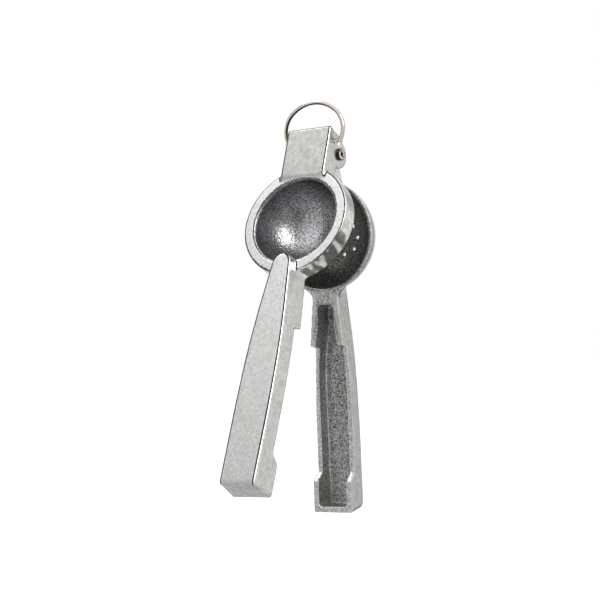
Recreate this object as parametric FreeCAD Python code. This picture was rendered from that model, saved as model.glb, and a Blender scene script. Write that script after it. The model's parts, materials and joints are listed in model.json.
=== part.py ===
"""Hinged cast-aluminium citrus squeezer, hung by its wire ring.

Two cast levers turn on one hinge screw. The press lever carries a hollow dome and the cup lever a
cup with drain holes. Each lever is drawn closed, in the hinge frame: the screw's axis is X through
the origin, the levers hang down -Z, the press lever lies on the -Y side of the plane y = 0 and the
cup lever on the +Y side. The assembly then opens the press lever and moves everything, so that the
part's own origin is the point inside the top of the ring where a hook touches it.
All lengths are millimetres and all angles are degrees.
"""
import FreeCAD, Part
import math
import os

from FreeCAD import Placement, Rotation, Vector

# Pose in which the part is stored.
OPEN_ANGLE = 23.6            # between the two levers

# Head of the press lever: a block with two cheeks and a slot open to the back.
HEAD_WIDTH = 28.8
HEAD_TOP = 11.5              # above the hinge axis
HEAD_BACK = 1.0              # behind the hinge axis
HEAD_STEP = 1.4              # how far its foot stands ahead of the press ring's face
HEAD_LEAN = 1.3              # how much further ahead its top stands
HEAD_WALL = 3.0              # front wall of the slot
HEAD_EDGE = 0.9              # rounded edges of the block
CHEEK_WALL = 4.2
EAR_RADIUS = 8.2
EAR_EDGE = 0.5
SLOT_BOTTOM = 14.0           # below the hinge axis
RECESS_DEPTH = 1.2           # cut in each cheek for the leg of the hanging ring
RECESS_LIP = 3.4             # from the head's front back to the recess, at the top
RECESS_SLANT = 2.2           # how much further back its lower corner lies
RECESS_BACK = 1.8            # ahead of the hinge axis
RECESS_CORNER = 1.6
RECESS_ROOM = 0.4            # below the hole of the ring's leg

# Press ring and dome.
RING_DROP = 13.0             # from the hinge axis down to the top of the press ring
RING_PROUD = 0.2             # how far the press ring stands out past the cup's rim
RING_FACE = 11.5             # ahead of the hinge plane
RING_EDGE = 0.7
BOWL_MOUTH_RADIUS = 26.3
BOWL_LEDGE_DEPTH = 1.0
BOWL_LEDGE_WIDTH = 0.7
BOWL_STRAIGHT = 3.0          # from the ring's face down to the centre of the hollow half ball
BOWL_WALL = 3.2

# Cup: a bowl cut from a ball whose centre lies ahead of the rim's face.
CUP_GAP = 2.5                # round the dome, at the rim's face
CUP_LIFT = 4.2               # from the rim's face ahead to the centre of the ball
CUP_WALL = 2.6
CUP_LIP = 0.5                # bevel round the mouth
DRAIN_COUNT = 8
DRAIN_CIRCLE_RADIUS = 9.5
DRAIN_DIAMETER = 2.2

# Handles: open channels, alike on both levers.
PARTING = 0.5                # each lever's faces stand this far back from the hinge plane
HANDLE_END = 204.7           # below the hinge axis
HANDLE_DEPTH = 16.4          # from the hinge plane to the outer face, beside the ring
HANDLE_DEPTH_END = 17.4
HANDLE_DRAFT = 1.5           # how much wider each side is at the parting face
END_RAKE = 2.2               # how much higher the end stops at the outer face
NOSE_OVERHANG = 3.3          # how far the handle's nose reaches over the mouth of the bowl
NOSE_RADIUS = 6.1
NECK_LENGTH = 30.0           # from the ring's foot to the neck's lower end
NECK_HALF_WIDTH = 9.4
GRIP_START = 69.0            # from the ring's foot to where the grip is fully wide
GRIP_HALF_WIDTH = 11.1
HANDLE_EDGE = 1.2            # rounded long edges of the outer face
PRESS_END_EDGE = 2.0         # rounded lower edge of the outer face
CUP_END_EDGE = 4.5
HANDLE_WALL = 2.1            # at the outer face; the draft makes it thicker above
FLOOR_WALL = 3.0
FLOOR_CORNER = 1.5
END_WALL = 3.6
POCKET_START = 6.5           # from the ring's foot down to the channel
THROAT_HALF_WIDTH = 5.2      # least half width of the channel, at its upper end
THROAT_CORNER = 2.4
DIP_DEPTH = 5.2              # how far the walls drop along the middle of the handle
DIP_END = 18.0               # from the handle's end up to the end of the dip
DIP_STEP = 1.5               # slope at the neck
DIP_RAMP = 5.0               # slope at the end
PRESS_WEB_RADIUS = 3.0       # hollow corners between ring and handle
CUP_WEB_RADIUS = 8.0
CUP_WEB_DEPTH = 4.0
WEB_ROOT = 2.0               # how far these corners reach into the ring

# Hinge: M4 low-head socket screw with a nut.
SCREW_DIAMETER = 4.0
SCREW_HEAD_DIAMETER = 7.0
SCREW_HEAD_HEIGHT = 1.5
SCREW_SOCKET_WIDTH = 2.5
SCREW_SOCKET_DEPTH = 1.0
SCREW_HEAD_EDGE = 0.3
SCREW_TAIL_EDGE = 0.4
SCREW_TAIL = 0.8             # past the nut
NUT_WIDTH = 7.0
NUT_HEIGHT = 3.2
NUT_EDGE = 0.5               # turned off the corners
SCREW_CLEARANCE = 0.05       # all round the screw
KNUCKLE_RADIUS = 7.4
KNUCKLE_SIDE_GAP = 0.2       # beside each cheek
KNUCKLE_ROOM = 0.6           # between the knuckle and the slot's top
ROOT_START = 7.0             # below the hinge axis, where the back of the cup's root begins to slope
ROOT_FLARE = 0.39            # how far it slopes back for each unit further down
ROOT_EDGE = 0.8

# Hanging ring: bent wire, its two ends turned into the cheeks.
WIRE_DIAMETER = 2.4
WIRE_CLEARANCE = 0.2         # all round the wire in its holes
EYE_AHEAD = 5.9              # the wire's holes, ahead of the hinge axis
EYE_UP = 5.6                 # and above it
LOOP_OVERHANG = 4.8          # from each cheek out to the middle of the wire
LOOP_FLATNESS = 2.8          # how much larger than half its width the radius of its top is
LOOP_ROUNDING = 5.2          # and how much smaller that of its sides
LOOP_TUCK = 25.0             # how far the legs lean inward
LOOP_LEG = 0.54              # straight stretch above each bend
LOOP_BEND_RADIUS = 2.2
WIRE_END_INSET = 0.5         # from the slot's wall back to the wire's end

# Sizes worked out from those above.
half_head = HEAD_WIDTH / 2
slot_half = half_head - CHEEK_WALL
knuckle_half = slot_half - KNUCKLE_SIDE_GAP
knuckle_sweep = KNUCKLE_RADIUS + KNUCKLE_ROOM
bowl_radius = BOWL_MOUTH_RADIUS - BOWL_LEDGE_WIDTH
bowl_depth = RING_FACE - BOWL_STRAIGHT
dome_radius = bowl_radius + BOWL_WALL
cup_mouth_radius = math.sqrt(dome_radius ** 2 - (bowl_depth - PARTING) ** 2) + CUP_GAP
cup_radius = math.hypot(cup_mouth_radius, CUP_LIFT)
hull_radius = cup_radius + CUP_WALL
rim_radius = math.sqrt(hull_radius ** 2 - CUP_LIFT ** 2)
ring_radius = rim_radius + RING_PROUD
cup_drop = RING_DROP + ring_radius
root_back = KNUCKLE_RADIUS + ROOT_FLARE * (cup_drop - ROOT_START)
bowl_centre = Vector(0, -bowl_depth, -cup_drop)
cup_centre = Vector(0, PARTING - CUP_LIFT, -cup_drop)
head_foot = cup_drop - BOWL_MOUTH_RADIUS
head_front = RING_FACE + HEAD_STEP
ring_foot = cup_drop + ring_radius
nose_top = cup_drop + BOWL_MOUTH_RADIUS - NOSE_OVERHANG
neck_end = ring_foot + NECK_LENGTH
grip_start = ring_foot + GRIP_START
dip_end = HANDLE_END - DIP_END
wire_hole_radius = WIRE_DIAMETER / 2 + WIRE_CLEARANCE
recess_bottom = EYE_UP - wire_hole_radius - RECESS_ROOM
loop_half_width = half_head + LOOP_OVERHANG
loop_top_radius = loop_half_width + LOOP_FLATNESS
loop_side_radius = loop_half_width - LOOP_ROUNDING
loop_tuck = math.radians(LOOP_TUCK)
leg_top = LOOP_LEG * math.cos(loop_tuck) + LOOP_BEND_RADIUS * (1 - math.sin(loop_tuck))
side_centre_up = leg_top + loop_side_radius * math.sin(loop_tuck)
top_centre_up = side_centre_up - math.sqrt((LOOP_FLATNESS + LOOP_ROUNDING) ** 2 - LOOP_ROUNDING ** 2)
loop_height = top_centre_up + loop_top_radius
screw_hole_radius = SCREW_DIAMETER / 2 + SCREW_CLEARANCE
BEYOND = 60.0                # how far a cutter may run past what it cuts
PAST = 1.0                   # how far it runs past where there is no room for more
NEAR = 0.1                   # how closely an edge is told by its place
X = Vector(1, 0, 0)
Y = Vector(0, 1, 0)
Z = Vector(0, 0, 1)
HINGE = Vector(0, 0, 0)


def box(x, y, z):
    """Box between the pairs of limits x, y and z."""
    return Part.makeBox(x[1] - x[0], y[1] - y[0], z[1] - z[0], Vector(x[0], y[0], z[0]))


def rod_x(radius, x_start, x_end, y=0.0, z=0.0):
    """Cylinder along X."""
    return Part.makeCylinder(radius, x_end - x_start, Vector(x_start, y, z), X)


def rod_y(radius, y_start, y_end):
    """Cylinder along Y, on the axis of ring, dome and cup."""
    return Part.makeCylinder(radius, y_end - y_start, Vector(0, y_start, -cup_drop), Y)


def ball(centre, radius):
    """Ball whose poles lie on Y."""
    solid = Part.makeSphere(radius)
    solid.Placement = Placement(centre, Rotation(X, 90))
    return solid


def side_prism(profile, x_start, x_end):
    """Closed (y, z) profile extruded along X."""
    points = [Vector(x_start, y, z) for y, z in profile]
    return Part.Face(Part.makePolygon(points + points[:1])).extrude(Vector(x_end - x_start, 0, 0))


def hexagon_x(width, x_start, x_end):
    """Hexagonal bar along X, with this width across its flats."""
    turns = [math.radians(60 * corner) for corner in range(6)]
    return side_prism([(width / math.sqrt(3) * math.cos(turn), width / math.sqrt(3) * math.sin(turn))
                       for turn in turns], x_start, x_end)


def rounded(solid, radius, test):
    """The solid with a fillet on each edge whose middle point passes the test."""
    middles = [(edge, edge.valueAt((edge.FirstParameter + edge.LastParameter) / 2)) for edge in solid.Edges]
    return solid.makeFillet(radius, [edge for edge, middle in middles if test(middle)])


def turned(shape):
    """The same shape on the other lever: turned half round the upright axis."""
    return shape.rotated(HINGE, Z, 180)


def half_width(drop):
    """Half the width of a handle's outer face, at a distance below the hinge axis."""
    stations = [(nose_top + NOSE_RADIUS, NOSE_RADIUS), (neck_end, NECK_HALF_WIDTH),
                (grip_start, GRIP_HALF_WIDTH)]
    for (upper, upper_width), (lower, lower_width) in zip(stations, stations[1:]):
        if drop <= lower:
            return upper_width + (lower_width - upper_width) * (drop - upper) / (lower - upper)
    return GRIP_HALF_WIDTH


def outer_depth(drop):
    """Distance from the hinge plane to a handle's outer face, at a distance below the hinge axis."""
    share = (drop - ring_foot) / (HANDLE_END - ring_foot)
    return HANDLE_DEPTH + (HANDLE_DEPTH_END - HANDLE_DEPTH) * share


def side_at(drop, depth):
    """Half the width of a handle at this distance from the hinge plane."""
    share = (outer_depth(drop) - depth) / (outer_depth(drop) - PARTING)
    return half_width(drop) + HANDLE_DRAFT * share


def outline(top, end, spread, depth_at):
    """Closed outline along a handle: a round top, two long curved sides and a straight end."""
    radius = NOSE_RADIUS + spread
    slope = math.atan((NECK_HALF_WIDTH - NOSE_RADIUS) / (neck_end - nose_top - NOSE_RADIUS))
    start = top + radius * (1 - math.sin(slope))
    stations = [(start, radius * math.cos(slope)), (neck_end, NECK_HALF_WIDTH + spread),
                (grip_start, GRIP_HALF_WIDTH + spread), (end, GRIP_HALF_WIDTH + spread)]
    left = [Vector(-width, -depth_at(drop), -drop) for drop, width in stations]
    right = [Vector(-point.x, point.y, point.z) for point in left]
    lean = depth_at(start) - depth_at(start + 1)
    sides = []
    for points, side in ((left, -1), (right, 1)):
        curve = Part.BSplineCurve()
        curve.interpolate(Points=points, InitialTangent=Vector(side * math.tan(slope), lean, -1),
                          FinalTangent=Vector(0, lean, -1))
        sides.append(curve.toShape())
    crown = Part.Arc(right[0], Vector(0, -depth_at(top), -top), left[0]).toShape()
    return Part.Wire([sides[0], Part.makeLine(left[-1], right[-1]), sides[1], crown])


def handle_body(end_edge):
    """Solid handle of the press lever, from its nose to its end, with its outer edges rounded."""
    outer = outline(nose_top, HANDLE_END - END_RAKE, 0, outer_depth)
    inner = outline(nose_top - HANDLE_DRAFT, HANDLE_END, HANDLE_DRAFT, lambda drop: PARTING)
    solid = Part.makeLoft([outer, inner], True, True)
    middle = -(PARTING + HANDLE_DEPTH) / 2
    end_top = END_RAKE - HANDLE_END
    solid = rounded(solid, end_edge, lambda p: p.z < end_top + PAST and abs(p.x) < NEAR and p.y < middle)
    return rounded(solid, HANDLE_EDGE, lambda p: abs(p.x) > NEAR and p.y < middle)


def pocket():
    """What is cut from the press lever's handle to make its channel."""
    start = ring_foot + POCKET_START
    end = HANDLE_END - END_WALL
    floor = outline(start, end, -HANDLE_WALL, lambda drop: outer_depth(drop) - FLOOR_WALL)
    mouth = outline(start, end, -HANDLE_WALL, lambda drop: -PAST)
    solid = Part.makeLoft([floor, mouth], True, True)
    middle = -HANDLE_DEPTH / 2
    solid = rounded(solid, FLOOR_CORNER, lambda p: p.z < PAST - end and abs(p.x) > NEAR and middle < p.y < 0)
    solid = rounded(solid, FLOOR_CORNER, lambda p: p.y < middle)
    throat = box((-THROAT_HALF_WIDTH, THROAT_HALF_WIDTH), (FLOOR_WALL - outer_depth(start), PAST),
                 (-neck_end, -start))
    throat = rounded(throat, THROAT_CORNER, lambda p: abs(p.x) > NEAR and p.z > -start - NEAR)
    return solid.fuse(rounded(throat, FLOOR_CORNER, lambda p: p.y < middle))


def dip():
    """What is cut from the walls of the press lever's channel, along its middle."""
    low = -PARTING - DIP_DEPTH
    profile = [(low, -neck_end - DIP_STEP), (-PARTING, -neck_end), (PAST, -neck_end), (PAST, -dip_end),
               (-PARTING, -dip_end), (low, -dip_end + DIP_RAMP)]
    return side_prism(profile, -BEYOND, BEYOND)


def web(radius, corner, near, far):
    """Plate from depth near to depth far, with hollow corners where a handle leaves its ring."""
    wires = []
    for depth in (near, far):
        on_handle = side_at(ring_foot, depth)
        reach = radius + corner
        centre = Vector(on_handle + corner, 0, -cup_drop - math.sqrt(reach ** 2 - (on_handle + corner) ** 2))
        ring_axis = Vector(0, 0, -cup_drop)
        ring_point = ring_axis + (centre - ring_axis) * (radius / reach)
        side_point = centre - X * corner
        between = centre + ((ring_point - centre) + (side_point - centre)).normalize() * corner
        right = [Vector(point.x, -depth, point.z) for point in (ring_point, between, side_point)]
        left = [Vector(-point.x, point.y, point.z) for point in right[::-1]]
        middle = Vector(0, -depth, -cup_drop)
        wires.append(Part.Wire([Part.makeLine(middle, right[0]), Part.Arc(*right).toShape(),
                                Part.makeLine(right[2], left[0]), Part.Arc(*left).toShape(),
                                Part.makeLine(left[2], middle)]))
    core = rod_y(radius - WEB_ROOT, -BEYOND, BEYOND)
    return Part.makeLoft(wires, True, True).cut(core)


def head():
    """Head of the press lever: block, ears, slot for the knuckle and the holes of screw and ring."""
    top_front = -head_front - HEAD_LEAN
    profile = [(-head_front, -head_foot), (top_front, HEAD_TOP), (HEAD_BACK, HEAD_TOP), (HEAD_BACK, 0),
               (-PARTING, 0), (-PARTING, -head_foot)]
    block = side_prism(profile, -half_head, half_head)
    block = rounded(block, HEAD_EDGE,
                    lambda p: p.y < PAST - head_front or (p.z > HEAD_TOP - NEAR and abs(p.x) > NEAR))
    ears = rod_x(EAR_RADIUS, -half_head, half_head)
    ears = rounded(ears, EAR_EDGE, lambda p: True)
    head_solid = block.fuse(ears)
    slot = box((-slot_half, slot_half), (HEAD_WALL - head_front, BEYOND), (-SLOT_BOTTOM, knuckle_sweep))
    head_solid = head_solid.cut(slot)
    recess_floor = half_head - RECESS_DEPTH
    lip = top_front + RECESS_LIP
    recess_front = lip + RECESS_SLANT
    recess = side_prism([(recess_front, recess_bottom), (lip, HEAD_TOP), (lip, BEYOND),
                         (-RECESS_BACK, BEYOND), (-RECESS_BACK, recess_bottom)], recess_floor, BEYOND)
    recess = rounded(recess, RECESS_CORNER,
                     lambda p: abs(p.z - recess_bottom) < NEAR and p.x > recess_floor + NEAR
                     and (p.y > -RECESS_BACK - NEAR or p.y < recess_front + NEAR))
    head_solid = head_solid.cut(recess).cut(turned(recess.mirror(HINGE, Y)))
    wire_holes = rod_x(wire_hole_radius, -BEYOND, BEYOND, -EYE_AHEAD, EYE_UP)
    screw_holes = rod_x(screw_hole_radius, -BEYOND, BEYOND)
    return head_solid.cut(wire_holes).cut(screw_holes)


def channelled(casting):
    """A press-side casting with its handle hollowed to a channel."""
    return casting.cut(pocket()).cut(dip())


def press_lever():
    """Front casting: head, ring, hollow dome and handle."""
    ring = rounded(rod_y(ring_radius, -RING_FACE, -PARTING), RING_EDGE, lambda p: True)
    behind_face = box((-BEYOND, BEYOND), (-RING_FACE, BEYOND), (-HANDLE_END, 0))
    body = ring.fuse(ball(bowl_centre, dome_radius).common(behind_face))
    hollow = rod_y(bowl_radius, -RING_FACE - PAST, bowl_centre.y).fuse(ball(bowl_centre, bowl_radius))
    ledge = rod_y(BOWL_MOUTH_RADIUS, -RING_FACE - PAST, -RING_FACE + BOWL_LEDGE_DEPTH)
    nose_root = Part.Face(outline(nose_top - HANDLE_DRAFT, HANDLE_END, HANDLE_DRAFT, lambda drop: PARTING))
    nose_root = nose_root.extrude(Vector(0, BEYOND, 0)).common(body)
    casting = body.cut(hollow.fuse(ledge)).fuse(nose_root)
    casting = casting.fuse(web(ring_radius, PRESS_WEB_RADIUS, RING_FACE, PARTING))
    casting = casting.fuse(channelled(handle_body(PRESS_END_EDGE)))
    return casting.cut(rod_x(knuckle_sweep, -slot_half, slot_half)).fuse(head())


def cup_lever():
    """Rear casting: knuckle, cup with its root and drain holes, and handle."""
    behind_rim = box((-BEYOND, BEYOND), (PARTING, BEYOND), (-HANDLE_END, 0))
    hull = ball(cup_centre, hull_radius).common(behind_rim)
    knuckle = rod_x(KNUCKLE_RADIUS, -knuckle_half, knuckle_half)
    root = side_prism([(PARTING, 0), (KNUCKLE_RADIUS, 0), (KNUCKLE_RADIUS, -ROOT_START),
                       (root_back, -cup_drop), (PARTING, -cup_drop)], -knuckle_half, knuckle_half)
    root = rounded(root, ROOT_EDGE, lambda p: abs(p.x) > NEAR and KNUCKLE_RADIUS < p.y < root_back)
    handle = turned(channelled(handle_body(CUP_END_EDGE)))
    skirt = turned(web(rim_radius, CUP_WEB_RADIUS, CUP_WEB_DEPTH + PARTING, PARTING))
    casting = hull.fuse([knuckle, root, skirt, handle])
    mouth = Part.makeCone(cup_mouth_radius + CUP_LIP + PAST, cup_mouth_radius - PAST, CUP_LIP + 2 * PAST,
                          Vector(0, PARTING - PAST, -cup_drop), Y)
    casting = casting.cut(ball(cup_centre, cup_radius).fuse(mouth))
    drain = Part.makeCylinder(DRAIN_DIAMETER / 2, BEYOND, Vector(DRAIN_CIRCLE_RADIUS, 0, -cup_drop), Y)
    for place in range(DRAIN_COUNT):
        casting = casting.cut(drain.rotated(Vector(0, 0, -cup_drop), Y, place * 360 / DRAIN_COUNT))
    return casting.cut(rod_x(screw_hole_radius, -BEYOND, BEYOND)).removeSplitter()


def hinge_screw():
    """Cap screw put in from the right, its tail standing out of the nut on the left."""
    head_end = half_head + SCREW_HEAD_HEIGHT
    tail_end = -half_head - NUT_HEIGHT - SCREW_TAIL
    cap = rod_x(SCREW_HEAD_DIAMETER / 2, half_head, head_end)
    cap = rounded(cap, SCREW_HEAD_EDGE, lambda p: p.x > head_end - NEAR)
    cap = cap.cut(hexagon_x(SCREW_SOCKET_WIDTH, head_end - SCREW_SOCKET_DEPTH, head_end + PAST))
    shank = rod_x(SCREW_DIAMETER / 2, tail_end, half_head)
    shank = rounded(shank, SCREW_TAIL_EDGE, lambda p: p.x < tail_end + NEAR)
    return cap.fuse(shank).removeSplitter()


def hinge_nut():
    """Hexagon nut against the left cheek."""
    blank = rod_x(NUT_WIDTH / math.sqrt(3), -half_head - NUT_HEIGHT, -half_head)
    blank = rounded(blank, NUT_EDGE, lambda p: True)
    nut = hexagon_x(NUT_WIDTH, -half_head - NUT_HEIGHT, -half_head).common(blank)
    return nut.cut(rod_x(screw_hole_radius, -BEYOND, BEYOND))


def hanging_ring():
    """Bent wire, drawn upright about the axis of its two eyes."""
    lean = Vector(math.cos(loop_tuck), 0, -math.sin(loop_tuck))
    along = Vector(math.sin(loop_tuck), 0, math.cos(loop_tuck))
    top_centre = Vector(0, 0, top_centre_up)
    side_centre = Vector(LOOP_ROUNDING, 0, side_centre_up)
    joint = top_centre + (side_centre - top_centre).normalize() * loop_top_radius
    side_end = side_centre + lean * loop_side_radius
    bend_start = side_end - along * LOOP_LEG
    bend_centre = bend_start - lean * LOOP_BEND_RADIUS
    bend_end = bend_centre - Z * LOOP_BEND_RADIUS
    bend_middle = bend_centre + (lean - Z).normalize() * LOOP_BEND_RADIUS
    side_middle = side_centre + (lean + (joint - side_centre).normalize()).normalize() * loop_side_radius
    wire_end = Vector(slot_half + WIRE_END_INSET, 0, bend_end.z)
    right = [Part.makeLine(wire_end, bend_end), Part.Arc(bend_end, bend_middle, bend_start).toShape(),
             Part.makeLine(bend_start, side_end), Part.Arc(side_end, side_middle, joint).toShape()]
    left = [edge.mirror(HINGE, X) for edge in right]
    top = Part.Arc(joint, Z * loop_height, Vector(-joint.x, 0, joint.z)).toShape()
    path = Part.Wire(Part.__sortEdges__(right + [top] + left))
    section = Part.Wire(Part.makeCircle(WIRE_DIAMETER / 2, wire_end, X))
    return path.makePipeShell([section], True, False)


def assembly():
    """Every node in its place, as a dictionary from node name to shape."""
    opening = Rotation(X, -OPEN_ANGLE)
    eye = opening.multVec(Vector(0, -EYE_AHEAD, EYE_UP))
    hook = eye + Z * (loop_height - WIRE_DIAMETER / 2)
    nodes = {"press_lever": press_lever(), "hinge_screw": hinge_screw(), "hinge_nut": hinge_nut()}
    for name, shape in nodes.items():
        nodes[name] = shape.rotated(HINGE, X, -OPEN_ANGLE)
    nodes["cup_lever"] = cup_lever()
    nodes["hanging_ring"] = hanging_ring().translated(eye)
    print("hinge axis through", [round(value, 3) for value in HINGE - hook])
    print("ring axis through", [round(value, 3) for value in eye - hook])
    return {name: shape.translated(-hook) for name, shape in nodes.items()}


os.makedirs("parts", exist_ok=True)
for node, node_shape in assembly().items():
    print(node, node_shape.isValid(), len(node_shape.Solids), round(node_shape.Volume, 1))
    node_shape.exportStep(os.path.join("parts", node + ".step"))
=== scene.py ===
# %% [markdown]
# # A cast-aluminium citrus squeezer
#
# The tool is two sand-cast levers on one hinge screw, and a wire ring to hang it by. Half a lime
# goes into the drained cup, and the hollow dome of the other lever presses it. The design, with its
# sizes, joints and clearances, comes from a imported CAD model. This lesson adds what CAD leaves out:
# the soft edges and waviness of a casting, the difference between sanded and as-cast faces, bright
# nickel, and the light of a small studio.
#
# The first cell loads the model. Its nodes stand at their real size, in metres, with +Z up, and the
# origin is the point inside the ring where a hook touches it.

# %% Load the frame
import json
import math

import bpy
import bmesh
import numpy as np
from mathutils import Matrix, Vector


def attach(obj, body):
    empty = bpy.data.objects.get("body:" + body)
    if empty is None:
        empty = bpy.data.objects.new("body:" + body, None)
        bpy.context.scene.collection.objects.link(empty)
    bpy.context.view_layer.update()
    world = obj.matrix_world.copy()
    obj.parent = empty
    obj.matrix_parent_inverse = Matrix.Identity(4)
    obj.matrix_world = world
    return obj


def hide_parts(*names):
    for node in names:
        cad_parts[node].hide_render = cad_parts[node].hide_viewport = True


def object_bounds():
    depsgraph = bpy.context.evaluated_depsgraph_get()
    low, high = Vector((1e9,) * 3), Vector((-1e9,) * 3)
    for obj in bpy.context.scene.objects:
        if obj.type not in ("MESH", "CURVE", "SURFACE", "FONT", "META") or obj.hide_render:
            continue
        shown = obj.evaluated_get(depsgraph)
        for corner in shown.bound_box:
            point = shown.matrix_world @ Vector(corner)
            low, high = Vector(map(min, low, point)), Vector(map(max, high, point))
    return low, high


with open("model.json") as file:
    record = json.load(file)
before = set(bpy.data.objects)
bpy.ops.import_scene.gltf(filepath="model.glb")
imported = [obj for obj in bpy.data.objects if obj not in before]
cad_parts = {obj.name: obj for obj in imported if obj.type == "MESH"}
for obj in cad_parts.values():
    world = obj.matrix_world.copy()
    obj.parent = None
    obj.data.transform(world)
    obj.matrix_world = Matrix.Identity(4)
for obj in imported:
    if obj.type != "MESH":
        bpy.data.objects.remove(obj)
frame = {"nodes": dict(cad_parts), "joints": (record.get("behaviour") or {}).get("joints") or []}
cad_bounds = [list(corner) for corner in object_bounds()]
print("nodes:", sorted(frame["nodes"]))

# %% [markdown]
# ## Where things are
#
# Almost every place in this file follows from the hinge. The joint gives its axis, and the joint's
# lower limit says how far the press lever has been opened from the closed position, in which it was
# designed. In that closed position its faces are square to the axes, so both a shape and a shader
# are easier to think about there. MM turns the millimetres that a maker thinks in into metres.

# %% Measures from the joints
MM = 0.001
joints = {joint["name"]: joint for joint in frame["joints"]}
HINGE = Vector(joints["lever_hinge"]["pos_m"])
OPENING = -math.radians(joints["lever_hinge"]["range_deg"][0])
RING_EYES = Vector(joints["ring_swing"]["pos_m"])
CUP_DROP = 45.99             # from the hinge down to the axis of press ring, dome and cup
print("opened by", round(math.degrees(OPENING), 1), "degrees about", [round(v, 4) for v in HINGE])

# %% [markdown]
# ## Shader maths in Python
#
# A Blender material is a graph of nodes, and maths in a graph is hard to read. This small class
# holds one socket. Each operator adds the Math node that it stands for and returns the result, so a
# mask can be written as a formula. Any other node comes from Graph.node, which takes the node's
# type, its settings and the values or links of its sockets.

# %% Expressions on sockets
class Value:
    """A number that may change over a surface: one output socket of a node."""

    def __init__(self, graph, socket):
        self.graph = graph
        self.socket = socket

    def math(self, operation, *others):
        inputs = {0: self} | {place + 1: other for place, other in enumerate(others)}
        return self.graph.node("ShaderNodeMath", {"operation": operation}, inputs)

    def __add__(self, other):
        return self.math("ADD", other)

    def __sub__(self, other):
        return self.math("SUBTRACT", other)

    def __rsub__(self, other):
        return self.graph.node("ShaderNodeMath", {"operation": "SUBTRACT"}, {0: other, 1: self})

    def __mul__(self, other):
        return self.math("MULTIPLY", other)

    def __truediv__(self, other):
        return self.math("DIVIDE", other)

    def __neg__(self):
        return self.math("MULTIPLY", -1.0)

    __radd__ = __add__
    __rmul__ = __mul__

    def abs(self):
        return self.math("ABSOLUTE")

    def at_most(self, other):
        return self.math("MINIMUM", other)

    def at_least(self, other):
        return self.math("MAXIMUM", other)

    def ramp(self, start, end):
        """0 where the value is at start, 1 where it is at end, smooth between, and held beyond."""
        return self.graph.node("ShaderNodeMapRange", {"interpolation_type": "SMOOTHSTEP"},
                               {"Value": self, "From Min": start, "From Max": end})

    def band(self, low, high, soft):
        """1 where the value lies between low and high, fading to 0 over soft inside each."""
        return self.ramp(low, low + soft) * self.ramp(high, high - soft)


class Graph:
    """The node tree of a material or a world, with its one shader."""

    def __init__(self, owner, shader="Principled BSDF"):
        owner.use_nodes = True
        self.owner = owner
        self.tree = owner.node_tree
        self.shader = self.tree.nodes[shader]

    def plug(self, socket, value):
        if isinstance(value, Value):
            self.tree.links.new(value.socket, socket)
        else:
            socket.default_value = value

    def node(self, kind, settings, inputs, output=0):
        node = self.tree.nodes.new(kind)
        for name, setting in settings.items():
            setattr(node, name, setting)
        for name, value in inputs.items():
            self.plug(node.inputs[name], value)
        return Value(self, node.outputs[output])

    def set(self, **sockets):
        """Sets or links sockets of the shader: spaces in a name are written as _."""
        for name, value in sockets.items():
            self.plug(self.shader.inputs[name.replace("_", " ")], value)

    def place(self, hinge, turn):
        """Object coordinates in millimetres from the hinge, turned back by an angle about X."""
        coordinates = self.node("ShaderNodeTexCoord", {}, {}, "Object")
        return self.node("ShaderNodeMapping", {"vector_type": "TEXTURE"},
                         {"Vector": coordinates, "Location": hinge, "Rotation": (turn, 0, 0),
                          "Scale": (MM, MM, MM)})

    def parts(self, vector):
        return [self.node("ShaderNodeSeparateXYZ", {}, {0: vector}, axis) for axis in "XYZ"]

    def stretched(self, vector, factors):
        return self.node("ShaderNodeVectorMath", {"operation": "MULTIPLY"}, {0: vector, 1: factors})

    def distance(self, vector, point):
        return self.node("ShaderNodeVectorMath", {"operation": "DISTANCE"},
                         {0: vector, 1: point}, "Value")

    def normal(self):
        """The way that the surface faces, as a direction of the object."""
        return self.node("ShaderNodeTexCoord", {}, {}, "Normal")

    def noise(self, vector, size, detail=2.0, roughness=0.5):
        """Noise from 0 to 1 whose blobs are about this many millimetres across."""
        return self.node("ShaderNodeTexNoise", {},
                         {"Vector": vector, "Scale": 1.0 / size, "Detail": detail,
                          "Roughness": roughness}, "Fac")

    def mix(self, factor, first, second):
        """Colour that goes from first, where factor is 0, to second, where it is 1."""
        def rgba(colour):
            return colour if isinstance(colour, Value) else (*colour, 1.0)
        return self.node("ShaderNodeMix", {"data_type": "RGBA"},
                         {0: factor, 6: rgba(first), 7: rgba(second)}, 2)

    def bump(self, height):
        """Normal of a surface raised by height, in metres."""
        return self.node("ShaderNodeBump", {}, {"Height": height, "Strength": 1.0, "Distance": 1.0})


print("expression class ready")

# %% [markdown]
# ## From a drawn solid to a casting
#
# A sand casting has no knife edges: every corner is softened by the sand and then by tumbling, and
# its flat faces are never quite flat. The CAD solid is exact, so it gets those traits here. One way
# is a Bevel modifier, but a bevel needs clean edges and this mesh is thousands of slim triangles.
# A voxel remesh is better: it rebuilds the skin as even small squares, rounds each edge by about
# one voxel, and leaves enough vertices to push the skin in and out by a few hundredths of a
# millimetre, as hand sanding does.

# %% Casting
VOXEL = 0.62 * MM
SMOOTHING_TURNS = 3
SMOOTHING = 0.5              # how far each turn moves a corner towards its neighbours' middle
DOUBLES = VOXEL / 1000       # corners nearer than this are one
WAVE_HEIGHT = 0.035 * MM
SANDED_OFF = 0.07 * MM       # so that the waves stay inside the drawn faces
WAVE_LENGTHS = (31, 19, 11)  # in millimetres


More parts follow.
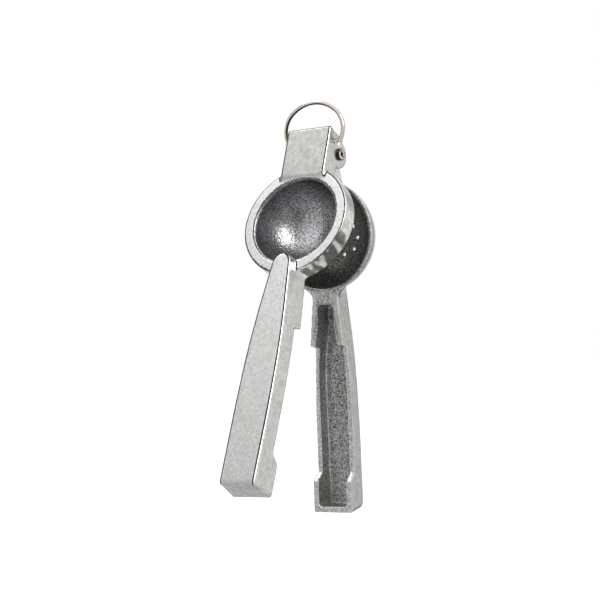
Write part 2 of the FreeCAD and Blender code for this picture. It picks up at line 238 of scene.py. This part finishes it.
def merged(source, name):
    """A closed copy of a CAD node's mesh: its corners, doubled along every edge, are joined."""
    shell = bmesh.new()
    shell.from_mesh(source.data)
    bmesh.ops.remove_doubles(shell, verts=shell.verts, dist=DOUBLES)
    corners = [vertex.co[:] for vertex in shell.verts]
    faces = [[vertex.index for vertex in face.verts] for face in shell.faces]
    shell.free()
    mesh = bpy.data.meshes.new(name)
    mesh.from_pydata(corners, [], faces)
    piece = bpy.data.objects.new(name, mesh)
    bpy.context.scene.collection.objects.link(piece)
    return piece


def finished(piece):
    """The piece with its modifiers made real."""
    graph = bpy.context.evaluated_depsgraph_get()
    mesh = bpy.data.meshes.new_from_object(piece.evaluated_get(graph))
    piece.modifiers.clear()
    piece.data = mesh
    return piece


def points_of(mesh):
    points = np.empty(len(mesh.vertices) * 3)
    mesh.vertices.foreach_get("co", points)
    return points.reshape(-1, 3)


def normals_of(mesh):
    normals = np.empty(len(mesh.vertices) * 3)
    mesh.vertex_normals.foreach_get("vector", normals)
    return normals.reshape(-1, 3)


def waves(points, seed):
    """Smooth unevenness: the sum, over the wave lengths, of length * sin(a) * sin(b) * sin(c).

    Each angle grows along a random direction d from a random start: 2 pi (p . d) / length + start.
    """
    random = np.random.default_rng(seed)
    height = np.zeros(len(points))
    for length in WAVE_LENGTHS:
        directions = random.normal(size=(3, 3))
        directions /= np.linalg.norm(directions, axis=1)[:, None]
        phases = random.uniform(0, 2 * np.pi, 3)
        angles = points @ directions.T * (2 * np.pi / (length * MM)) + phases
        height += np.sin(angles).prod(axis=1) * length / WAVE_LENGTHS[0]
    return height


def casting(node, name, seed):
    """Skin of a CAD node with softened edges and a slight unevenness; it stands in for the node."""
    piece = merged(frame["nodes"][node], name)
    remesh = piece.modifiers.new("sand", "REMESH")
    remesh.mode = "VOXEL"
    remesh.voxel_size = VOXEL
    smooth = piece.modifiers.new("tumbling", "SMOOTH")
    smooth.factor = SMOOTHING
    smooth.iterations = SMOOTHING_TURNS
    finished(piece)
    points = points_of(piece.data)
    points += normals_of(piece.data) * (waves(points, seed) * WAVE_HEIGHT - SANDED_OFF)[:, None]
    piece.data.vertices.foreach_set("co", points.ravel())
    piece.data.shade_smooth()
    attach(piece, node)
    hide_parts(node)
    print(name, len(piece.data.polygons), "faces")
    return piece


press_casting = casting("press_lever", "press_casting", 3)
cup_casting = casting("cup_lever", "cup_casting", 7)

# %% [markdown]
# ## Where the castings were sanded
#
# Sand-cast aluminium comes out of its mould grey and grainy. On this tool only the faces that a
# belt can reach were sanded bright: the outside of the handles, the head, the ring and the cup's
# back. The hollows stay as they were cast. So one material needs several finishes, and a mask for
# each that says where it is. An image could be painted for that, but it would need an unwrapped
# mesh and would blur up close. Instead, each mask is a formula on the place of a point in the
# closed tool, in millimetres from the hinge: ball, disc, slab and strip.
#
# A finish is a mottled tone between two colours, a grain that is raised by up to 0.2 millimetres,
# and a roughness that follows the grain.

# %% Finishes
FINISHES = {
    # name: (dark colour, light colour, patch size mm, grain size mm, grain depth mm, roughness)
    "sanded": ((0.66, 0.665, 0.65), (0.94, 0.94, 0.925), 1.6, 0.5, 0.014, 0.35),
    "sides": ((0.52, 0.525, 0.50), (0.78, 0.785, 0.76), 3.2, 0.6, 0.010, 0.30),
    # painted shade for the handle's end face, which looks down
    "end": ((0.32, 0.322, 0.31), (0.58, 0.585, 0.565), 3.2, 0.6, 0.010, 0.28),
    # a dark colour painted as reflection and shade: along edges, at the bowl's step and in streaks on
    # the ring
    "painted dark line": ((0.015, 0.015, 0.018), (0.07, 0.07, 0.075), 2.0, 0.6, 0.004, 0.35),
    # a painted highlight along the rounded edges
    "painted bright line": ((0.80, 0.80, 0.78), (0.98, 0.98, 0.97), 2.0, 0.6, 0.002, 0.16),
    "polished": ((0.60, 0.605, 0.56), (0.90, 0.90, 0.88), 4.0, 2.5, 0.030, 0.12),
    "cast": ((0.22, 0.22, 0.218), (0.90, 0.90, 0.885), 1.2, 0.75, 0.080, 0.42),
    "lips": ((0.38, 0.38, 0.375), (0.88, 0.88, 0.865), 1.4, 0.70, 0.060, 0.38),
    "floor": ((0.07, 0.07, 0.07), (0.72, 0.72, 0.705), 1.0, 0.80, 0.120, 0.46),
    "bowl": ((0.22, 0.22, 0.23), (0.86, 0.86, 0.885), 1.0, 0.95, 0.200, 0.26),
    # a painted dark reflection in the upper part of the bowl
    "painted bowl reflection": ((0.07, 0.068, 0.07), (0.36, 0.355, 0.365), 1.0, 0.95, 0.155, 0.31),
    # the cup's inside: as-cast grain, painted darker as painted shade
    "cup": ((0.06, 0.057, 0.055), (0.56, 0.552, 0.538), 1.1, 0.80, 0.090, 0.36),
}
PATCHES_SHARE = 0.45         # of a finish's tone; the grain gives the rest
TONE = (0.36, 0.64)          # the noise from which a tone is all dark to where it is all light
GRAIN_GLOSS = 0.15           # how much smoother a grain's top is than its foot


class Casting(Graph):
    """Aluminium, sanded all over at first. Each later finish covers it where its mask is 1."""

    def __init__(self, name, turn):
        super().__init__(bpy.data.materials.new(name))
        self.point = self.place(HINGE, turn)
        self.x, self.y, self.z = self.parts(self.point)
        self.radius = (self.x * self.x + (self.z + CUP_DROP) * (self.z + CUP_DROP)).math("SQRT")
        normal = self.node("ShaderNodeVectorRotate", {"rotation_type": "X_AXIS"},
                           {"Vector": self.normal(), "Angle": -turn})
        self.sideways, self.backward, self.upward = self.parts(normal)
        self.colour, self.roughness, self.height = self.finish("sanded")

    def finish(self, name):
        """Colour, roughness and height in metres of one finish, everywhere."""
        dark, light, patch, grain, depth, roughness = FINISHES[name]
        patches = self.noise(self.point, patch, 3.0, 0.6)
        grains = self.noise(self.point, grain, 2.0, 0.55)
        tone = (patches * PATCHES_SHARE + grains * (1.0 - PATCHES_SHARE)).ramp(*TONE)
        gloss = (0.5 - grains) * GRAIN_GLOSS
        return self.mix(tone, dark, light), roughness + gloss, grains * (depth * MM)

    def cover(self, name, mask):
        colour, roughness, height = self.finish(name)
        self.colour = self.mix(mask, self.colour, colour)
        self.roughness = self.roughness + (roughness - self.roughness) * mask
        self.height = self.height + (height - self.height) * mask

    def below(self, drop):
        """How far a point lies below a height that is this far under the hinge."""
        return -self.z - drop

    def above(self, drop):
        return self.z + drop

    def done(self):
        self.set(Metallic=1.0, Base_Color=self.colour, Roughness=self.roughness,
                 Normal=self.bump(self.height))
        return self.owner


print("finishes:", ", ".join(FINISHES))

# %% [markdown]
# ## Handles
#
# Both handles are channels of the same shape, and one mirrors the other in the plane of the hinge.
# So one function finishes both. It is given the depth: the distance from that plane, on the
# handle's own side. A border between finishes must not cross a face that shows, so each border of
# the channel's mask runs through the middle of a wall. The rim of the channel was never sanded. It
# drops along the middle of the handle, and its mask drops with it.
#
# The long edges are rounded. Their shine is a painted highlight, with a painted dark reflection
# beside them on the outer face. A bevel could have carried its own material, but this skin has no
# edges left to bevel. An edge is found by the way it faces instead: its sideways lean grows from 0 on
# the outer face to 1 on the side. It is painted dark where it leans a little, and painted bright from
# about a half.

# %% Masks of a handle
HANDLE_START = 79.0          # the foot of the ring; all these heights are below the hinge
CHANNEL_START, CHANNEL_END = 84.0, 202.0
DIP_TOP, DIP_FOOT = 109.0, 186.7
LIPS_START = 100.0
END_FACE = 200.5
DIP_DEPTH = 5.2              # how far the walls drop between DIP_TOP and DIP_FOOT
DIP_STEP, DIP_RAMP = 1.5, 5.0           # how long its slopes are, above and below
THROAT_HALF = 5.2            # from the middle of the channel to the middle of a wall, at the top
NECK_LENGTH, NECK_GROWTH = 30.0, 3.2    # how that distance grows along the neck
GRIP_LENGTH, GRIP_GROWTH = 40.0, 1.9    # and along the grip
SIDE_DEPTH = 15.6            # where a handle's sides give way to its rounded outer edge
BACK_WALL = 14.9             # depth of the middle of the channel's back wall, at the top
BACK_WALL_SLOPE = 1 / 125
LIP = 1.0                    # depth down to which the rim of the channel is as cast
# the outer face's edge lines are painted: first a dark reflection, then a highlight
TURNS_DARK = (0.07, 0.14)    # sideways lean at which the outer face gives way to the dark line
TURNS_BRIGHT = (0.48, 0.56)  # and at which that gives way to the bright edge
OUTWARD = (0.15, 0.3)        # outward lean from which a place belongs to the outer side
HEAD_BROW = 9.0              # the head's upper edge lies higher than this above the hinge


def half_channel(metal):
    """Distance, at each height, from the middle of the channel to the middle of a wall."""
    neck = metal.below(HANDLE_START).ramp(0.0, NECK_LENGTH) * NECK_GROWTH
    grip = metal.below(DIP_TOP).ramp(0.0, GRIP_LENGTH) * GRIP_GROWTH
    return neck + grip + THROAT_HALF


def cover_handle(metal, depth):
    """Finishes of a handle: its sides, its end with painted shade, its channel and the lips around
    the channel.
    """
    beside = metal.x.abs() - half_channel(metal)
    sides = beside.ramp(-0.6, 0.6) * (SIDE_DEPTH - depth).ramp(0.0, 0.4)
    metal.cover("sides", sides * metal.below(HANDLE_START - 1.0).ramp(0.0, 2.0))
    back_wall = metal.below(HANDLE_START) * BACK_WALL_SLOPE + BACK_WALL
    channel = beside.ramp(0.4, -0.4) * (depth - back_wall).ramp(0.3, -0.3)
    channel = channel * metal.below(CHANNEL_START).ramp(0.0, 1.5)
    channel = channel * metal.above(CHANNEL_END).ramp(0.0, 0.5)
    # painted shade: the end face that looks down is painted darker
    metal.cover("end", (-metal.upward).ramp(0.6, 0.9) * metal.below(END_FACE).ramp(0.0, 0.5))
    metal.cover("floor", channel)
    metal.cover("cast", channel * metal.sideways.abs().ramp(0.5, 0.8))
    dip = metal.below(DIP_TOP).ramp(0.0, DIP_STEP) * metal.above(DIP_FOOT).ramp(0.0, DIP_RAMP)
    lips = (dip * DIP_DEPTH + LIP - depth).ramp(0.0, 0.3) * (depth + LIP).ramp(0.0, 0.3)
    metal.cover("lips", lips * metal.below(LIPS_START).ramp(0.0, 10.0))


def painted_edge_lines(metal, rounded):
    """The long outer edges: a painted bright line, a painted dark one beside it, and one along the
    head's brow.
    """
    lean = metal.sideways.abs()
    bright = lean.ramp(*TURNS_BRIGHT)
    # painted dark reflection beside each edge, and a painted highlight on it
    metal.cover("painted dark line", rounded * lean.ramp(*TURNS_DARK) * (1.0 - bright))
    metal.cover("painted bright line", rounded * bright)
    brow = rounded * metal.above(-HEAD_BROW).ramp(0.0, 0.5)
    # painted dark reflection along the head's brow
    metal.cover("painted dark line", brow * metal.upward.band(0.10, 0.80, 0.10))


print("channel finish from", CHANNEL_START, "to", CHANNEL_END, "mm below the hinge")

# %% [markdown]
# ## The press lever
#
# Its head and ring were sanded like the handle. The outer side of the ring has been rubbed bright
# at the low right, with dark streaks painted in it as dark reflections. The dome is as cast, and so
# is the bowl inside it, a coarse grain that glitters. The upper part of the bowl is painted darker,
# as a painted dark reflection.
#
# One way to part such finishes is to give each face one of several materials, but on a skin of
# small squares that makes stepped borders. The bowl is part of a ball, so its mask is a distance
# from the ball's middle, and its border fades over a fraction of a millimetre.

# %% Press lever
CHEEK_FOOT, FRONT_FOOT = 22.0, 21.0    # below the hinge; the head's sanded sides end above these
HEAD_FRONT = 12.2                      # ahead of the hinge, between the ring's face and the head's
LEDGE = (25.7, 26.5)                   # radii on both sides of the step in the bowl's mouth
# the step gets a painted shade line on its left side
LEDGE_SIDE = (-5.0, -12.0)             # it is dark on the left
RING_SIDE = (32.3, 33.6)               # radii on both sides of the ring's outer side
RING_FACE = 11.4                       # ahead of the hinge; the outer side lies behind it
LOW_RIGHT = (0.75, -0.66)              # a direction across the ring, as right and up
POLISHED = (18.0, 26.0)                # how far out in that direction the side turns bright
STREAKED = (26.0, 32.0)                # and where it gets its dark streaks
STREAK_STRETCH = (1.0, 0.35, 1.0)
STREAK_SIZE, STREAK_SHARE, STREAK_STRENGTH = 6.0, (0.42, 0.55), 0.85
DOME_TOP = 17.0                        # below the hinge
DOME_REACH = 34.5                      # radius outside which nothing belongs to the dome
DOME_START = 0.3                       # ahead of the hinge; the dome stands out behind this
BALL_DROP = 46.0                       # below the hinge, for the balls of bowl and cup alike
BALL_DEPTH = 8.5                       # of the middle of the bowl's ball, ahead of the hinge
BALL_RADIUS = 26.8
BOWL_FRONT = 11.7                      # ahead of the hinge; just past the ring's face
BOWL_REFLECTION_LEAN, BOWL_REFLECTION_HEIGHTS = 0.4, (7.0, 23.0)     # heights above the axis between which the painted dark reflection sets in


def press_metal():
    metal = Casting("cast_aluminium", -OPENING)
    cheeks = metal.sideways.abs().ramp(0.8, 0.9) * metal.above(CHEEK_FOOT).ramp(0.0, 1.0)
    front = (-metal.y - HEAD_FRONT).ramp(0.0, 0.4) * metal.above(FRONT_FOOT).ramp(0.0, 0.5)
    metal.cover("sides", cheeks.at_least(front))
    cover_handle(metal, -metal.y)
    painted_edge_lines(metal, (-metal.backward).ramp(*OUTWARD))
    # painted shade: a dark line on the step in the bowl's mouth, on its left
    metal.cover("painted dark line", metal.radius.band(*LEDGE, 0.2) * metal.x.ramp(*LEDGE_SIDE))
    side = metal.radius.band(*RING_SIDE, 0.4) * (metal.y + RING_FACE).ramp(0.0, 0.3)
    low_right = metal.x * LOW_RIGHT[0] + metal.above(CUP_DROP) * LOW_RIGHT[1]
    metal.cover("polished", side * low_right.ramp(*POLISHED))
    # painted reflection: dark streaks on the bright low right of the ring's side
    stretched = metal.stretched(metal.point, STREAK_STRETCH)
    streaks = metal.noise(stretched, STREAK_SIZE, 1.0).ramp(*STREAK_SHARE) * STREAK_STRENGTH
    metal.cover("painted dark line", side * low_right.ramp(*STREAKED) * streaks)
    dome = (metal.y + DOME_START).ramp(-0.2, 0.2) * metal.radius.ramp(DOME_REACH, DOME_REACH - 0.5)
    metal.cover("cast", dome * metal.below(DOME_TOP).ramp(0.0, 1.0))
    away = metal.distance(metal.point, (0.0, -BALL_DEPTH, -BALL_DROP))
    bowl = away.ramp(BALL_RADIUS, BALL_RADIUS - 0.3) * (metal.y + BOWL_FRONT).ramp(0.0, 0.25)
    metal.cover("bowl", bowl)
    # painted dark reflection: the upper part of the bowl is painted darker
    metal.cover("painted bowl reflection", bowl * (metal.above(CUP_DROP) - metal.x * BOWL_REFLECTION_LEAN).ramp(*BOWL_REFLECTION_HEIGHTS))
    return metal.done()


press_casting.data.materials.clear()
press_casting.data.materials.append(press_metal())
print("press lever:", len(press_casting.data.materials[0].node_tree.nodes), "shader nodes")

# %% [markdown]
# ## The cup lever
#
# Its back was sanded like the handle. The faces that meet the press lever are as cast, and the inner
# part of the cup's rim is darker. The inside of the cup is as cast too, and painted darker: painted
# shade, as falls in the hollow under the dome. The cup is part of a ball too, with its middle ahead
# of the hinge, so the same kind of mask finds it.

# %% Cup lever
PARTING = 1.0                # the faces that meet the press lever lie less deep than this
RIM_MIDDLE = 31.9            # radius on the cup's rim inside which it is darker
CUP_BALL_DEPTH = 3.7         # of the middle of the cup's ball, ahead of the hinge
CUP_BALL_RADIUS = 31.2
CUP_LIP = 0.7                # depth from which the cup has its own finish
HULL = (36.0, 38.0)          # radii past the cup, from which a long edge may start


def cup_metal():
    metal = Casting("cup_aluminium", 0.0)
    parting = (PARTING - metal.y).ramp(0.0, 0.3)
    metal.cover("cast", parting)
    cover_handle(metal, metal.y)
    painted_edge_lines(metal, metal.backward.ramp(*OUTWARD) * metal.radius.ramp(*HULL))
    metal.cover("floor", parting * metal.radius.ramp(RIM_MIDDLE, RIM_MIDDLE - 0.4))
    away = metal.distance(metal.point, (0.0, -CUP_BALL_DEPTH, -BALL_DROP))
    inside = away.ramp(CUP_BALL_RADIUS, CUP_BALL_RADIUS - 0.3)
    # painted shade: the inside of the cup is painted darker
    metal.cover("cup", inside * (metal.y - CUP_LIP).ramp(0.0, 0.3))
    return metal.done()


cup_casting.data.materials.clear()
cup_casting.data.materials.append(cup_metal())
print("cup lever:", len(cup_casting.data.materials[0].node_tree.nodes), "shader nodes")

# %% [markdown]
# ## Bright steel
#
# Ring, screw and nut are small, exact and nickel plated, so they keep their CAD meshes and only get
# a material. A mirror shows whatever surrounds it, and in a plain white studio that is nothing but
# white. A black card would darken the wire, but it would show in the castings too. So the dark line
# along the inside of the loop is a painted dark reflection in the wire's colour. The screw has
# painted shade in its socket and round the edge of its head, and dark blotches elsewhere.

# %% Bright steel
NICKEL = (0.78, 0.71, 0.62)
# colour of painted dark reflection and shade on the steel, and of the screw's dark blotches
PAINTED_DARK_COLOUR = (0.06, 0.05, 0.045)
WIRE_ROUGHNESS, SCREW_ROUGHNESS = 0.10, 0.18
HAZE_SIZE, HAZE = 1.8, 0.1             # blobs in which the roughness varies, and by how much
LOOP_MIDDLE = 9.0                      # above the ring's eyes
LOOP_INSIDE = (-4.0, -9.0)             # place times normal; below zero it faces the middle
SCREW_AXIS = tuple((HINGE - RING_EYES) / MM)
HEAD_RIM, SOCKET = (2.7, 3.1), (1.6, 1.2)    # distances from that axis
BLOTCH_SIZE, BLOTCHES = 1.6, (0.52, 0.62)


def steel(name, roughness, painted_dark_mask):
    """Nickel-plated steel. Its painted darkening is a mask, made from the graph and the point."""
    metal = Graph(bpy.data.materials.new(name))
    point = metal.place(RING_EYES, 0.0)
    haze = (metal.noise(point, HAZE_SIZE, 3.0, 0.6) - 0.5) * HAZE
    metal.set(Metallic=1.0, Base_Color=metal.mix(painted_dark_mask(metal, point), NICKEL, PAINTED_DARK_COLOUR),
              Roughness=roughness + haze)
    return metal.owner


def painted_loop_reflection(metal, point):
    """The side of the wire that faces the middle of the loop, painted dark as a reflection: normal
    times place, summed.
    """
    x, _, z = metal.parts(point)
    across, _, up = metal.parts(metal.normal())
    return (across * x + up * (z - LOOP_MIDDLE)).ramp(*LOOP_INSIDE)


def crevice_shade_and_blotches(metal, point):
    """Painted shade in the screw's socket and round the edge of its head, and dark blotches
    elsewhere.
    """
    from_axis = metal.distance(metal.stretched(point, (0.0, 1.0, 1.0)), SCREW_AXIS)
    # painted shade in the socket and round the head's rim
    rim = from_axis.ramp(*HEAD_RIM) + from_axis.ramp(*SOCKET)
    blotches = metal.noise(point, BLOTCH_SIZE, 1.0).ramp(*BLOTCHES)
    return rim.at_most(1.0).at_least(blotches)


for node, name, roughness, painted_dark_mask in (
        ("hanging_ring", "nickel_wire", WIRE_ROUGHNESS, painted_loop_reflection),
        ("hinge_screw", "nickel_screw", SCREW_ROUGHNESS, crevice_shade_and_blotches),
        ("hinge_nut", "nickel_nut", SCREW_ROUGHNESS, crevice_shade_and_blotches)):
    frame["nodes"][node].data.materials[0] = steel(name, roughness, painted_dark_mask)
    print(node, "has", name)

# %% [markdown]
# ## Studio
#
# The floor and the sky are near white. A large pale floor would also light the metal from below and
# whiten every reflection, so it is hidden from both and only the camera sees it.
#
# Metal needs something to reflect. The key light is a soft square above and to the left, a weaker
# one further left fills in, and a bright, narrow one above and to the right draws the edges. The
# sky is a little darker towards the floor. It has a few dark strips, like the black cards that are
# set up around silverware, and one dark patch behind and below. The camera sees a white sky.

# %% Studio
MIDDLE = Vector((0, 0, -0.1))
FLOOR_DROP = 0.05            # the floor lies this far below the handle's end
FLOOR_RADIUS = 8.0
FLOOR_SIDES = 96
FLOOR_GREY, FLOOR_GLOW = 0.85, 0.45
BOX_DISTANCE = 0.9
WHITE = (1.0, 1.0, 1.0, 1.0)
ROOM, LOW_SKY, HIGH_SKY = 0.80, 0.08, 0.12   # light from below, and what each height adds
FLAG_COUNT, FLAG_SHIFT = 5.0, 0.9            # dark strips round the tool, and where they start
FLAG_EDGE, FLAG_FADE, FLAG_DARKNESS = (0.55, 0.8), (0.75, 0.5), 0.85
PATCH_DIRECTION = (0.1, 0.83, -0.55)
PATCH_EDGE, PATCH_DARKNESS = (0.90, 0.96), 0.8


def floor():
    """Disc with corners at (r cos t, r sin t); it neither shows in the metal nor lights it."""
    turns = np.linspace(0, 2 * np.pi, FLOOR_SIDES + 1)[:-1]
    z = np.full(FLOOR_SIDES, cad_bounds[0][2] - FLOOR_DROP)
    rim = np.column_stack([np.cos(turns) * FLOOR_RADIUS, np.sin(turns) * FLOOR_RADIUS, z])
    mesh = bpy.data.meshes.new("floor")
    mesh.from_pydata(rim.tolist(), [], [list(range(FLOOR_SIDES))])
    ground = bpy.data.objects.new("floor", mesh)
    bpy.context.scene.collection.objects.link(ground)
    paint = Graph(bpy.data.materials.new("floor_paint"))
    paint.set(Base_Color=(FLOOR_GREY, FLOOR_GREY, FLOOR_GREY, 1.0), Roughness=0.9,
              Emission_Color=WHITE, Emission_Strength=FLOOR_GLOW)
    mesh.materials.append(paint.owner)
    ground.visible_glossy = False
    ground.visible_diffuse = False


def softbox(name, direction, size, brightness):
    """Rectangular light BOX_DISTANCE from the tool's middle; brightness is that of its face."""
    light = bpy.data.lights.new(name, "AREA")
    light.shape = "RECTANGLE"
    light.size, light.size_y = size
    light.energy = brightness * math.pi * size[0] * size[1]
    lamp = bpy.data.objects.new(name, light)
    away = Vector(direction).normalized()
    lamp.location = MIDDLE + away * BOX_DISTANCE
    lamp.rotation_euler = away.to_track_quat("Z", "Y").to_euler()
    lamp.visible_camera = False
    bpy.context.scene.collection.objects.link(lamp)
    print(name, "light:", round(light.energy, 2), "W")


def sky():
    """Brightness by direction: it grows with height, times the strips, times the patch."""
    world = bpy.data.worlds.new("studio")
    graph = Graph(world, "Background")
    x, y, z = graph.parts(graph.node("ShaderNodeTexCoord", {}, {}, "Generated"))
    room = ROOM + z.ramp(-0.3, 0.1) * LOW_SKY + z.ramp(0.3, 0.9) * HIGH_SKY
    azimuth = x.math("ARCTAN2", y)
    flags = (azimuth * FLAG_COUNT + FLAG_SHIFT).math("SINE").ramp(*FLAG_EDGE)
    flags = flags * z.abs().ramp(*FLAG_FADE)
    east, north, up = PATCH_DIRECTION
    patch = (x * east + y * north + z * up).ramp(*PATCH_EDGE)
    room = room * (1.0 - flags * FLAG_DARKNESS) * (1.0 - patch * PATCH_DARKNESS)
    seen = graph.node("ShaderNodeLightPath", {}, {}, "Is Camera Ray")
    graph.set(Strength=room + (1.0 - room) * seen, Color=WHITE)
    bpy.context.scene.world = world


floor()
softbox("key", (-0.46, -0.11, 0.87), (0.34, 0.34), 3.6)
softbox("fill", (-0.98, -0.20, 0.10), (0.30, 0.60), 1.2)
softbox("edge", (0.75, -0.33, 0.54), (0.22, 0.60), 5.5)
sky()
bpy.context.scene.view_settings.view_transform = "Standard"

# %% [markdown]
# ## Camera
#
# The tool is seen from the front and the right, from a little below its middle, through a long lens
# that keeps its sides nearly parallel. The camera leans by about two degrees, so the tool seems to
# hang at a slant. Three Euler angles would do, but they are hard to picture. Here the camera's axes
# are worked out one after another: ahead from turn and tilt, then right and up with the lean.

# %% Camera
CAMERA_PLACE = Vector((0.4412, -0.7376, -0.1411))
CAMERA_TURN = math.radians(31.69)
CAMERA_TILT = math.radians(1.94)
CAMERA_ROLL = math.radians(2.32)
LENS = 90.0
FARTHEST = 20                # metres; past the floor's edge

ahead = Vector((-math.sin(CAMERA_TURN) * math.cos(CAMERA_TILT),
                math.cos(CAMERA_TURN) * math.cos(CAMERA_TILT), math.sin(CAMERA_TILT)))
level = Vector((math.cos(CAMERA_TURN), math.sin(CAMERA_TURN), 0))
upright = level.cross(ahead)
right = level * math.cos(CAMERA_ROLL) - upright * math.sin(CAMERA_ROLL)
up = right.cross(ahead)
camera = bpy.data.objects.new("camera", bpy.data.cameras.new("camera"))
camera.data.lens = LENS
camera.data.clip_end = FARTHEST
camera.matrix_world = Matrix((right, up, -ahead)).transposed().to_4x4()
camera.location = CAMERA_PLACE
bpy.context.scene.collection.objects.link(camera)
bpy.context.scene.camera = camera
print("camera", round((CAMERA_PLACE - MIDDLE).length, 2), "m from the tool, lens", LENS, "mm")

# %% [markdown]
# ## Sizes
#
# The skins must not outgrow the solids they stand for, so the box of the CAD solids is printed.

# %% Write the sizes and finish
print("CAD box from", np.round(cad_bounds[0], 4), "to", np.round(cad_bounds[1], 4), "metres")
